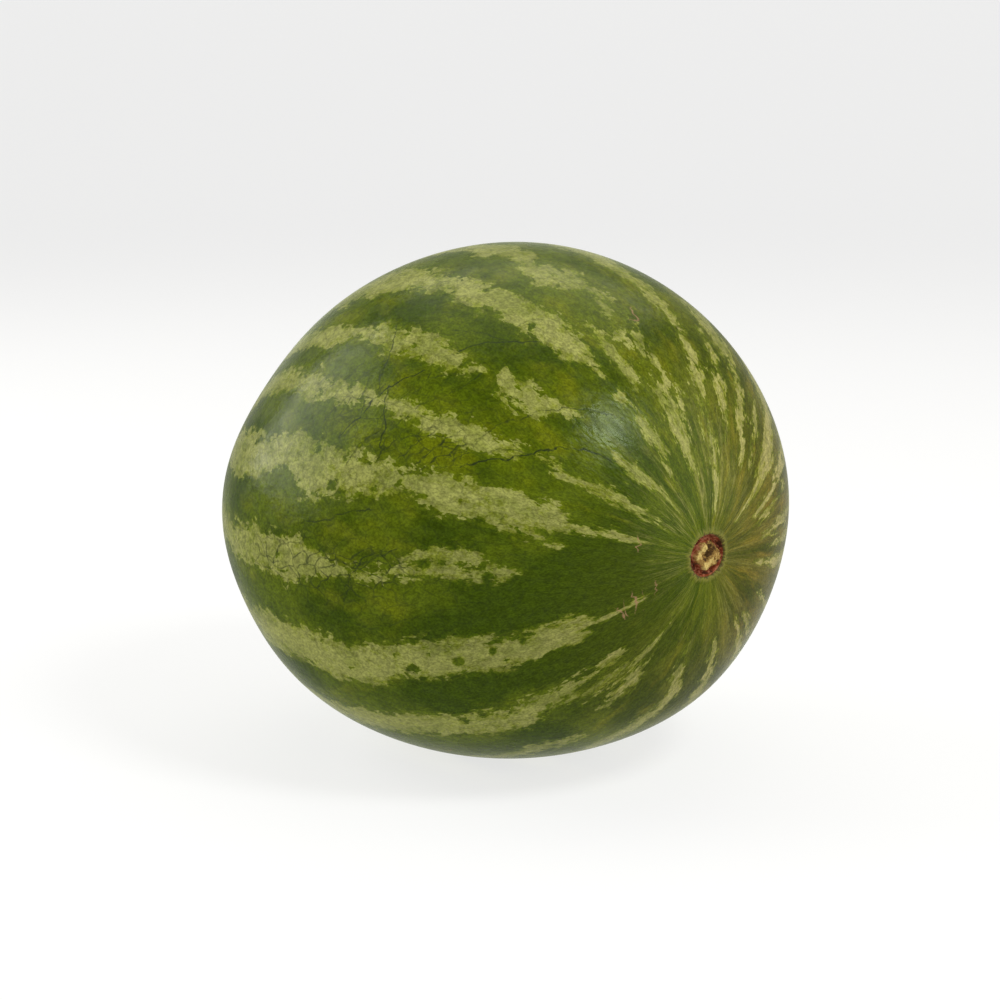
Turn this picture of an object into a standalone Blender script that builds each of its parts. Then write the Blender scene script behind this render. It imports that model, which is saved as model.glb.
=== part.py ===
"""A round striped watermelon, lying on its side on the flat spot it rested on as it grew.

Metres, +Z up. The stem end faces +X and the blossom end faces -X. The origin is the
bottom centre of the fruit's bounding box, in the plane of its resting spot.

The fruit is one closed skin of rings round the stem axis. A point on it is named by its
polar angle, measured from the stem end, and by its turn about the axis, measured from +Y
towards +Z. Close to an end, the polar angle also gives the distance from the axis.
"""

import math
from dataclasses import dataclass

import bmesh
import bpy
from mathutils import Vector

MM = 0.001

# The smooth body, before its ends are dimpled and its resting spot is pressed flat.
BODY_LENGTH = 0.261
GIRTH_WIDE = 0.244
GIRTH_NARROW = 0.2254
GIRTH_TURN = math.radians(15.0)

# Compared with an ellipsoid, the stem end is a little fuller and the blossom end slimmer.
STEM_FULLNESS = 0.040
BLOSSOM_SLIMNESS = 0.052

# Three soft ridges run from end to end, and the middle sits slightly high.
RIDGE_COUNT = 3
RIDGE_HEIGHT = 0.0148
RIDGE_TURN = math.radians(76.0)
BELLY_LIFT = 2.3 * MM

# The resting spot is flat, and rounds off into the body over twice the blend.
FLAT_DEPTH = 1.8 * MM
FLAT_BLEND = 0.55 * MM

# The radius with which the two ends are rounded.
END_RADIUS = 0.127

# The stem end: a shallow basin, a low lip round the scar, the recess that the stem tore
# out of, and the ragged stub left standing in it round a hole in the pith.
BASIN_DEPTH = 2.4 * MM
BASIN_RADIUS = 18.0 * MM
LIP_HEIGHT = 0.45 * MM
LIP_RADIUS = 10.6 * MM
LIP_WIDTH = 1.4 * MM
RECESS_DEPTH = 2.9 * MM
RECESS_RADIUS = 9.8 * MM
RECESS_FLOOR_RADIUS = 8.0 * MM
STUB_HEIGHT = 2.5 * MM
STUB_RADIUS = 6.4 * MM
STUB_SLOPE = 1.2 * MM
STUB_LOBES = ((2, 0.6 * MM, 0.9), (5, 0.45 * MM, 2.1))
STUB_TILT = 0.35 * MM
PITH_DEPTH = 1.7 * MM
PITH_RADIUS = 2.9 * MM
PITH_FLOOR_RADIUS = 0.8 * MM

# The blossom end: a shallow dimple with a small corky button in it.
DIMPLE_DEPTH = 1.8 * MM
DIMPLE_RADIUS = 14.0 * MM
BUTTON_HEIGHT = 0.7 * MM
BUTTON_RADIUS = 5.2 * MM
BUTTON_FLAT_RADIUS = 3.4 * MM

# The rings lie close together over each scar, and then spread out to the widest ring.
SIDES = 72
HALF_SIDES_WITHIN = 7.6 * MM
QUARTER_SIDES_WITHIN = 3.1 * MM
STEM_RING_STEP = 1.05 * MM
STEM_CLOSE_RINGS_WITHIN = 12.5 * MM
BLOSSOM_RING_STEP = 1.7 * MM
BLOSSOM_CLOSE_RINGS_WITHIN = 6.5 * MM
RING_STEP_GROWTH = 1.35
LONGEST_RING_STEP = 8.0 * MM

RIND_GREEN = (0.115, 0.185, 0.030, 1.0)
RIND_ROUGHNESS = 0.42


@dataclass(frozen=True)
class Swell:
    """A broad, low swell of the body, or a hollow where its height is negative."""

    polar: float
    turn: float
    spread: float
    height: float


SWELLS = (
    Swell(math.radians(123), math.radians(175), math.radians(19), 1.8 * MM),
    Swell(math.radians(121), math.radians(143), math.radians(16), -1.4 * MM),
    Swell(math.radians(113), math.radians(204), math.radians(15), -1.0 * MM),
    Swell(math.radians(46), math.radians(290), math.radians(16), 0.9 * MM),
    Swell(math.radians(38), math.radians(334), math.radians(16), -1.0 * MM),
)


def direction(polar, turn):
    """The unit vector at that polar angle and turn."""
    out = math.sin(polar)
    return Vector((math.cos(polar), out * math.cos(turn), out * math.sin(turn)))


def within(radius, inner, outer):
    """1 inside the inner radius, 0 outside the outer one, and a smooth slope between."""
    share = min(1.0, max(0.0, (outer - radius) / (outer - inner)))
    return share * share * (3.0 - 2.0 * share)


def body_point(polar, turn):
    """The smooth body's point, about its own centre."""
    along = math.cos(polar)
    out = math.sin(polar)
    if along > 0.0:
        fullness = 1.0 + STEM_FULLNESS * along**4
    else:
        fullness = 1.0 - BLOSSOM_SLIMNESS * along**2
    ridges = 1.0 + RIDGE_HEIGHT * out**2 * math.cos(RIDGE_COUNT * (turn - RIDGE_TURN))
    reach = out * fullness * ridges
    wide = GIRTH_WIDE / 2 * reach * math.cos(turn - GIRTH_TURN)
    narrow = GIRTH_NARROW / 2 * reach * math.sin(turn - GIRTH_TURN)
    y = wide * math.cos(GIRTH_TURN) - narrow * math.sin(GIRTH_TURN)
    z = wide * math.sin(GIRTH_TURN) + narrow * math.cos(GIRTH_TURN)
    return Vector((BODY_LENGTH / 2 * along, y, z + BELLY_LIFT * out**2))


def swelling(polar, turn):
    """How far the broad swells push the skin out there."""
    here = direction(polar, turn)
    total = 0.0
    for swell in SWELLS:
        apart = here.angle(direction(swell.polar, swell.turn))
        total += swell.height * math.exp(-((apart / swell.spread) ** 2))
    return total


def stem_relief(radius, turn):
    """How far the stem end stands out from the smooth body, at a distance from the axis."""
    basin = -BASIN_DEPTH * math.exp(-((radius / BASIN_RADIUS) ** 2))
    lip = LIP_HEIGHT * math.exp(-(((radius - LIP_RADIUS) / LIP_WIDTH) ** 2))
    recess = -RECESS_DEPTH * within(radius, RECESS_FLOOR_RADIUS, RECESS_RADIUS)
    edge = STUB_RADIUS
    for count, depth, start in STUB_LOBES:
        edge += depth * math.cos(count * turn + start)
    top = STUB_HEIGHT + STUB_TILT * math.cos(turn) * radius / STUB_RADIUS
    stub = top * within(radius, edge - STUB_SLOPE, edge)
    pith = -PITH_DEPTH * within(radius, PITH_FLOOR_RADIUS, PITH_RADIUS)
    return basin + lip + recess + stub + pith


def blossom_relief(radius):
    """How far the blossom end stands out from the smooth body, at a distance from the axis."""
    dimple = -DIMPLE_DEPTH * math.exp(-((radius / DIMPLE_RADIUS) ** 2))
    button = BUTTON_HEIGHT * within(radius, BUTTON_FLAT_RADIUS, BUTTON_RADIUS)
    return dimple + button


def skin_point(polar, turn):
    """The finished skin's point, about the body's centre and before the resting spot."""
    point = body_point(polar, turn) + direction(polar, turn) * swelling(polar, turn)
    point.x += stem_relief(polar * END_RADIUS, turn)
    point.x -= blossom_relief((math.pi - polar) * END_RADIUS)
    return point


def ring_angles(step, close_within):
    """The rings' angles from one end to the widest ring: evenly close at first, then wider
    and wider apart."""
    angles = [step / END_RADIUS]
    while angles[-1] < math.pi / 2:
        if angles[-1] * END_RADIUS > close_within:
            step = min(step * RING_STEP_GROWTH, LONGEST_RING_STEP)
        angles.append(angles[-1] + step / END_RADIUS)
    squeeze = math.pi / 2 / angles[-1]
    return [angle * squeeze for angle in angles]


def side_count(radius):
    """How many points a ring of that radius has: fewer close to the axis."""
    if radius < QUARTER_SIDES_WITHIN:
        return SIDES // 4
    if radius < HALF_SIDES_WITHIN:
        return SIDES // 2
    return SIDES


def add_ring(mesh, polar, count):
    """One ring of points at that polar angle."""
    turns = (2.0 * math.pi * i / count for i in range(count))
    return [mesh.verts.new(skin_point(polar, turn)) for turn in turns]


def join_rings(mesh, inner, outer):
    """Faces between a ring and the next one out, which has as many points or twice as many."""
    ratio = len(outer) // len(inner)
    for i, here in enumerate(inner):
        after = inner[(i + 1) % len(inner)]
        fan = [outer[(i * ratio + k) % len(outer)] for k in range(ratio + 1)]
        if ratio == 1:
            mesh.faces.new((here, fan[0], fan[1], after))
        else:
            mesh.faces.new((here, fan[0], fan[1]))
            mesh.faces.new((here, fan[1], after))
            mesh.faces.new((after, fan[1], fan[2]))


def close_end(mesh, polar, ring):
    """A fan of faces from the point on the axis to the first ring round it."""
    tip = mesh.verts.new(skin_point(polar, 0.0))
    for i, here in enumerate(ring):
        mesh.faces.new((tip, here, ring[(i + 1) % len(ring)]))


def add_half(mesh, angles, from_blossom, widest):
    """The skin from one end to the widest ring, which both halves share."""
    rings = []
    for angle in angles[:-1]:
        polar = math.pi - angle if from_blossom else angle
        rings.append(add_ring(mesh, polar, side_count(angle * END_RADIUS)))
    rings.append(widest)
    close_end(mesh, math.pi if from_blossom else 0.0, rings[0])
    for inner, outer in zip(rings, rings[1:]):
        join_rings(mesh, inner, outer)


def rest_on_spot(mesh):
    """Presses the resting spot flat and moves the fruit so that the spot lies at z = 0, with
    the bounding box centred over the origin."""
    floor = min(vert.co.z for vert in mesh.verts) + FLAT_DEPTH
    for vert in mesh.verts:
        above = vert.co.z - floor
        if above < -FLAT_BLEND:
            above = 0.0
        elif above < FLAT_BLEND:
            above = (above + FLAT_BLEND) ** 2 / (4.0 * FLAT_BLEND)
        vert.co.z = above
    for axis in (0, 1):
        places = [vert.co[axis] for vert in mesh.verts]
        middle = (min(places) + max(places)) / 2
        for vert in mesh.verts:
            vert.co[axis] -= middle


def rind_material():
    """The rind's average green with its waxy, half-glossy finish."""
    material = bpy.data.materials.new("rind")
    material.use_nodes = True
    shader = material.node_tree.nodes["Principled BSDF"]
    shader.inputs["Base Color"].default_value = RIND_GREEN
    shader.inputs["Roughness"].default_value = RIND_ROUGHNESS
    shader.inputs["Metallic"].default_value = 0.0
    material.diffuse_color = RIND_GREEN
    return material


def make_watermelon():
    """The whole fruit as one object."""
    mesh = bmesh.new()
    widest = add_ring(mesh, math.pi / 2, SIDES)
    stem_angles = ring_angles(STEM_RING_STEP, STEM_CLOSE_RINGS_WITHIN)
    add_half(mesh, stem_angles, False, widest)
    blossom_angles = ring_angles(BLOSSOM_RING_STEP, BLOSSOM_CLOSE_RINGS_WITHIN)
    add_half(mesh, blossom_angles, True, widest)
    rest_on_spot(mesh)
    bmesh.ops.recalc_face_normals(mesh, faces=mesh.faces)
    data = bpy.data.meshes.new("watermelon")
    mesh.to_mesh(data)
    mesh.free()
    data.materials.append(rind_material())
    data.shade_smooth()
    fruit = bpy.data.objects.new("watermelon", data)
    bpy.context.scene.collection.objects.link(fruit)
    return fruit


def main():
    """Clears the scene and builds the fruit in it."""
    for old in list(bpy.data.objects):
        bpy.data.objects.remove(old)
    make_watermelon()


main()
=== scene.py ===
"""The looks of a round striped watermelon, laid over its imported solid.

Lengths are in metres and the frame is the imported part's: +Z up, the stem end towards +X
and the blossom end towards -X. A point of the skin is named by its polar angle from the
stem end and by its turn about the stem axis, from +Y towards +Z. Markings are laid out in
degrees of those two angles, and their fine grain is measured in millimetres of skin.
"""

import logging
import math
from dataclasses import dataclass
from enum import Enum

import bpy
import numpy as np
from mathutils import Matrix, Vector, noise


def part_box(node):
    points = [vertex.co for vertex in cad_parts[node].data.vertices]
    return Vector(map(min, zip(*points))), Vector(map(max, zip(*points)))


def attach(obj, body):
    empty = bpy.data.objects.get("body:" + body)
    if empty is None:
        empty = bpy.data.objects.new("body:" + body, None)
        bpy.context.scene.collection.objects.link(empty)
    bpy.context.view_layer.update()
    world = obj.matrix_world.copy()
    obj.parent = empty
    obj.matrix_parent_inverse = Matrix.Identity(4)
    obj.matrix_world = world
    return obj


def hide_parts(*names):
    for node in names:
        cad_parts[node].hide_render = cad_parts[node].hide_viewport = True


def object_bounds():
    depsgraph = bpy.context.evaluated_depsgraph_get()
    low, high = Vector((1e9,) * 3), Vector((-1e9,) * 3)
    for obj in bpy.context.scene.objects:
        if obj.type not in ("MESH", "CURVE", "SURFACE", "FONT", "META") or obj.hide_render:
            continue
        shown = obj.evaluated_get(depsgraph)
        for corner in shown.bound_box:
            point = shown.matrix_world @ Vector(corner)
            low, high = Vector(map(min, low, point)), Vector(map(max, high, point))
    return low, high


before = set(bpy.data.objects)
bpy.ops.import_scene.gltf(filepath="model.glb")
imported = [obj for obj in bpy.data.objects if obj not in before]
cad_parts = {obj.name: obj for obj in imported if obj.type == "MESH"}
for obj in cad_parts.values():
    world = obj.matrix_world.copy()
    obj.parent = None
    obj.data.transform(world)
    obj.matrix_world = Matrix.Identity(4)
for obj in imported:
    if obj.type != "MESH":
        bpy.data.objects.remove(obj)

CAD_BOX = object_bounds()
NODE = "watermelon"
BODY = "root"
MM = 0.001
FAR = 1000.0
TINY = 1e-6
WHITE = (1.0, 1.0, 1.0)
Colour = tuple[float, float, float]
Mark = tuple[float, float, float]

log = logging.getLogger("watermelon")


def within(distance: np.ndarray, inner: float, outer: float) -> np.ndarray:
    """A smooth edge.

    Args:
        distance: How far out each point is.
        inner: The distance up to which the result is 1.
        outer: The distance from which the result is 0.

    Returns:
        A number from 0 to 1 for each point.
    """
    share = np.clip((outer - distance) / (outer - inner), 0.0, 1.0)
    return share * share * (3.0 - 2.0 * share)


def turned(turn: np.ndarray, start: np.ndarray) -> np.ndarray:
    """How far one turn is from another, from -180 to 180 degrees.

    Args:
        turn: Turns, in degrees.
        start: The turns that they are measured from, in degrees.

    Returns:
        The difference of each pair.
    """
    return (turn - start + 180.0) % 360.0 - 180.0


def direction(polar: np.ndarray, turn: np.ndarray) -> np.ndarray:
    """Unit vectors towards points of the skin.

    Args:
        polar: Angles from the stem end, in radians.
        turn: Angles about the stem axis, in radians.

    Returns:
        One unit vector for each pair of angles.
    """
    out = np.sin(polar)
    return np.stack([np.cos(polar), out * np.cos(turn), out * np.sin(turn)], -1)


@dataclass(frozen=True)
class Swell:
    """A broad, low swell of the body, or a hollow where its height is negative.

    Angles are in degrees and the height is in millimetres.
    """

    polar: float
    turn: float
    spread: float
    height: float

    def height_at(self, towards: np.ndarray) -> np.ndarray:
        """How far this swell pushes the skin out.

        Args:
            towards: Unit vectors towards points of the skin.

        Returns:
            The push at each point, in metres.
        """
        middle = direction(np.radians(self.polar), np.radians(self.turn))
        apart = np.arccos(np.clip(towards @ middle, -1.0, 1.0))
        return self.height * MM * np.exp(-((apart / math.radians(self.spread)) ** 2))


@dataclass(frozen=True)
class FruitForm:
    """The skin's form as a formula: the same body, ends and resting spot as the solid's."""

    length: float = 0.261
    girth_wide: float = 0.244
    girth_narrow: float = 0.2254
    girth_turn: float = 15.0
    stem_fullness: float = 0.040
    blossom_slimness: float = 0.052
    ridge_count: int = 3
    ridge_height: float = 0.0148
    ridge_turn: float = 76.0
    belly_lift: float = 2.3 * MM
    flat_depth: float = 1.8 * MM
    flat_blend: float = 0.55 * MM
    end_radius: float = 0.127
    basin_depth: float = 2.4 * MM
    basin_radius: float = 18.0 * MM
    lip_height: float = 0.45 * MM
    lip_radius: float = 10.6 * MM
    lip_width: float = 1.4 * MM
    recess_depth: float = 2.9 * MM
    recess_radius: float = 9.8 * MM
    recess_floor_radius: float = 8.0 * MM
    dimple_depth: float = 1.8 * MM
    dimple_radius: float = 14.0 * MM
    button_height: float = 0.7 * MM
    button_radius: float = 5.2 * MM
    button_flat_radius: float = 3.4 * MM
    swells: tuple[Swell, ...] = (
        Swell(123, 175, 19, 1.8),
        Swell(121, 143, 16, -1.4),
        Swell(113, 204, 15, -1.0),
        Swell(46, 290, 16, 0.9),
        Swell(38, 334, 16, -1.0),
    )

    def body(self, polar: np.ndarray, turn: np.ndarray) -> np.ndarray:
        """The smooth body, about its own centre.

        Args:
            polar: Angles from the stem end, in radians.
            turn: Angles about the stem axis, in radians.

        Returns:
            One point for each pair of angles.
        """
        along, out = np.cos(polar), np.sin(polar)
        fuller = 1.0 + self.stem_fullness * along**4
        slimmer = 1.0 - self.blossom_slimness * along**2
        lean = math.radians(self.girth_turn)
        ridges = np.cos(self.ridge_count * (turn - math.radians(self.ridge_turn)))
        reach = out * np.where(along > 0.0, fuller, slimmer)
        reach = reach * (1.0 + self.ridge_height * out**2 * ridges)
        wide = self.girth_wide / 2 * reach * np.cos(turn - lean)
        narrow = self.girth_narrow / 2 * reach * np.sin(turn - lean)
        y = wide * math.cos(lean) - narrow * math.sin(lean)
        z = wide * math.sin(lean) + narrow * math.cos(lean) + self.belly_lift * out**2
        return np.stack([self.length / 2 * along, y, z], -1)

    def skin(self, polar: np.ndarray, turn: np.ndarray) -> np.ndarray:
        """The body with its swells, basin, scar recess, dimple and button.

        Args:
            polar: Angles from the stem end, in radians.
            turn: Angles about the stem axis, in radians.

        Returns:
            One point for each pair of angles, before the resting spot is pressed flat.
        """
        towards = direction(polar, turn)
        push = sum(swell.height_at(towards) for swell in self.swells)
        points = self.body(polar, turn) + towards * push[..., None]
        stem = polar * self.end_radius
        points[..., 0] -= self.basin_depth * np.exp(-((stem / self.basin_radius) ** 2))
        points[..., 0] += self.lip_height * np.exp(
            -(((stem - self.lip_radius) / self.lip_width) ** 2)
        )
        points[..., 0] -= self.recess_depth * within(
            stem, self.recess_floor_radius, self.recess_radius
        )
        blossom = (math.pi - polar) * self.end_radius
        points[..., 0] += self.dimple_depth * np.exp(-((blossom / self.dimple_radius) ** 2))
        points[..., 0] -= self.button_height * within(
            blossom, self.button_flat_radius, self.button_radius
        )
        return points

    def rest(self, points: np.ndarray, lowest: float) -> np.ndarray:
        """Presses the resting spot flat and brings it to z = 0.

        Args:
            points: Points of the skin.
            lowest: The height of the skin's lowest point.

        Returns:
            The points over the floor.
        """
        rested = points.copy()
        above = points[..., 2] - lowest - self.flat_depth
        eased = (above + self.flat_blend) ** 2 / (4.0 * self.flat_blend)
        pressed = np.where(above < -self.flat_blend, 0.0, eased)
        rested[..., 2] = np.where(above < self.flat_blend, pressed, above)
        return rested


@dataclass(frozen=True)
class Stripe:
    """One pale stripe, drawn as marks from its stem end to its blossom end.

    A mark is a polar angle, the turn of the stripe's middle there and half its width, all
    in degrees. The stripe tapers to nothing beyond its first and last marks.
    """

    marks: tuple[Mark, ...]

    def depth_at(self, polar: np.ndarray, turn: np.ndarray) -> np.ndarray:
        """How far inside the stripe each point lies.

        Args:
            polar: Angles from the stem end, in degrees.
            turn: Angles about the stem axis, in degrees.

        Returns:
            Degrees from the nearest edge: positive inside the stripe, negative outside.
        """
        at = [mark[0] for mark in self.marks]
        middle = np.interp(polar, at, [mark[1] for mark in self.marks])
        half = np.interp(polar, at, [mark[2] for mark in self.marks])
        aside = np.abs(turned(turn, middle))
        beyond = np.maximum(np.maximum(at[0] - polar, polar - at[-1]), 0.0)
        return half - np.hypot(aside, beyond)


@dataclass(frozen=True)
class Fleck:
    """A small round island of green inside a pale stripe: its place in degrees, its radius in mm."""

    turn: float
    polar: float
    radius: float


@dataclass(frozen=True)
class StripeLayout:
    """All pale stripes and patches of the rind."""

    stripes: tuple[Stripe, ...]
    flecks: tuple[Fleck, ...] = ()
    degree: float = 2.1
    deepest: float = 7.0
    furthest: float = 16.0
    fleck_depth: float = 10.0
    fleck_blur: float = 1.2

    def field(self, polar: np.ndarray, turn: np.ndarray) -> np.ndarray:
        """How deep in the pale markings each point lies.

        Args:
            polar: Angles from the stem end, in radians.
            turn: Angles about the stem axis, in radians.

        Returns:
            Millimetres from the nearest edge of a marking, positive inside it.
        """
        down, round_ = np.degrees(polar), np.degrees(turn)
        depth = np.full_like(down, -self.furthest)
        for stripe in self.stripes:
            depth = np.maximum(depth, stripe.depth_at(down, round_) * self.degree)
        depth = np.minimum(depth, self.deepest)
        for fleck in self.flecks:
            across = (round_ - fleck.turn) * self.degree * np.sin(polar)
            away = np.hypot(across, (down - fleck.polar) * self.degree)
            shown = within(away, fleck.radius - self.fleck_blur, fleck.radius + self.fleck_blur)
            depth = depth - self.fleck_depth * shown
        return depth


@dataclass(frozen=True)
class Patch:
    """A soft oval of the skin, with its middle and its reaches in degrees."""

    turn: float
    polar: float
    turn_reach: float
    polar_reach: float
    strength: float = 1.0

    def weight(self, polar: np.ndarray, turn: np.ndarray) -> np.ndarray:
        """How strongly the patch shows.

        Args:
            polar: Angles from the stem end, in degrees.
            turn: Angles about the stem axis, in degrees.

        Returns:
            The strength in the middle, falling softly to 0.
        """
        across = turned(turn, self.turn) / self.turn_reach
        along = (polar - self.polar) / self.polar_reach
        return self.strength * np.exp(-(across**2) - along**2)


def patched(patches: tuple[Patch, ...], polar: np.ndarray, turn: np.ndarray) -> np.ndarray:
    """The sum of some patches.

    Args:
        patches: The patches.
        polar: Angles from the stem end, in radians.
        turn: Angles about the stem axis, in radians.

    Returns:
        One number for each pair of angles.
    """
    return sum(patch.weight(np.degrees(polar), np.degrees(turn)) for patch in patches)


class Hairline(Enum):
    """The kinds of thin line on the rind. Lines that cross or lie close are of different kinds."""

    VEIN = "vein"
    BRANCH = "branch"
    SCRATCH = "scratch"


@dataclass(frozen=True)
class Line:
    """One thin line: its kind, its bends as turn and polar angle in degrees, and its strength."""

    kind: Hairline
    bends: tuple[tuple[float, float], ...]
    ink: float = 1.0

    def reach(self, polar: np.ndarray, turn: np.ndarray,
              degree: float) -> tuple[np.ndarray, np.ndarray]:
        """How far to the side of the line and beyond its ends each point lies.

        Args:
            polar: Angles from the stem end, in degrees.
            turn: Angles about the stem axis, in degrees.
            degree: The length of a degree, in millimetres.

        Returns:
            The signed distance from the line, and the distance beyond its ends.
        """
        across = degree * np.sin(np.radians(polar))
        aside = np.full_like(polar, FAR)
        beyond = np.zeros_like(polar)
        steps = list(zip(self.bends, self.bends[1:]))
        for number, (start, end) in enumerate(steps):
            x = turned(turn, start[0]) * across
            y = (polar - start[1]) * degree
            step_x, step_y = (end[0] - start[0]) * across, (end[1] - start[1]) * degree
            length = np.hypot(step_x, step_y) + TINY
            along = (x * step_x + y * step_y) / length
            clamped = np.clip(along, 0.0, length)
            away = np.hypot(x - step_x * clamped / length, y - step_y * clamped / length)
            side = np.where(step_x * y - step_y * x < 0.0, -1.0, 1.0)
            nearer = away < np.abs(aside)
            over = np.zeros_like(polar)
            if number == 0:
                over = np.maximum(over, -along)
            if number == len(steps) - 1:
                over = np.maximum(over, along - length)
            aside = np.where(nearer, side * away, aside)
            beyond = np.where(nearer, over, beyond)
        return aside, beyond


@dataclass(frozen=True)
class LineLayout:
    """All thin lines of the rind."""

    lines: tuple[Line, ...]
    degree: float = 2.1
    furthest: float = 4.5
    fade_from: float = 2.4
    fade_to: float = 4.0
    tip: float = 2.5

    def field(self, kind: Hairline, polar: np.ndarray,
              turn: np.ndarray) -> tuple[np.ndarray, np.ndarray]:
        """Where the lines of one kind run.

        Args:
            kind: The kind of line.
            polar: Angles from the stem end, in radians.
            turn: Angles about the stem axis, in radians.

        Returns:
            The signed distance from the nearest line in millimetres, and that line's strength.
        """
        down, round_ = np.degrees(polar), np.degrees(turn)
        aside = np.full_like(down, self.furthest)
        ink = np.zeros_like(down)
        for line in self.lines:
            if line.kind is not kind:
                continue
            away, beyond = line.reach(down, round_, self.degree)
            shown = line.ink * within(np.abs(away), self.fade_from, self.fade_to)
            shown = shown * within(beyond, 0.0, self.tip)
            nearer = np.abs(away) < np.abs(aside)
            aside = np.where(nearer, away, aside)
            ink = np.where(nearer, shown, ink)
        return aside, ink


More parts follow.
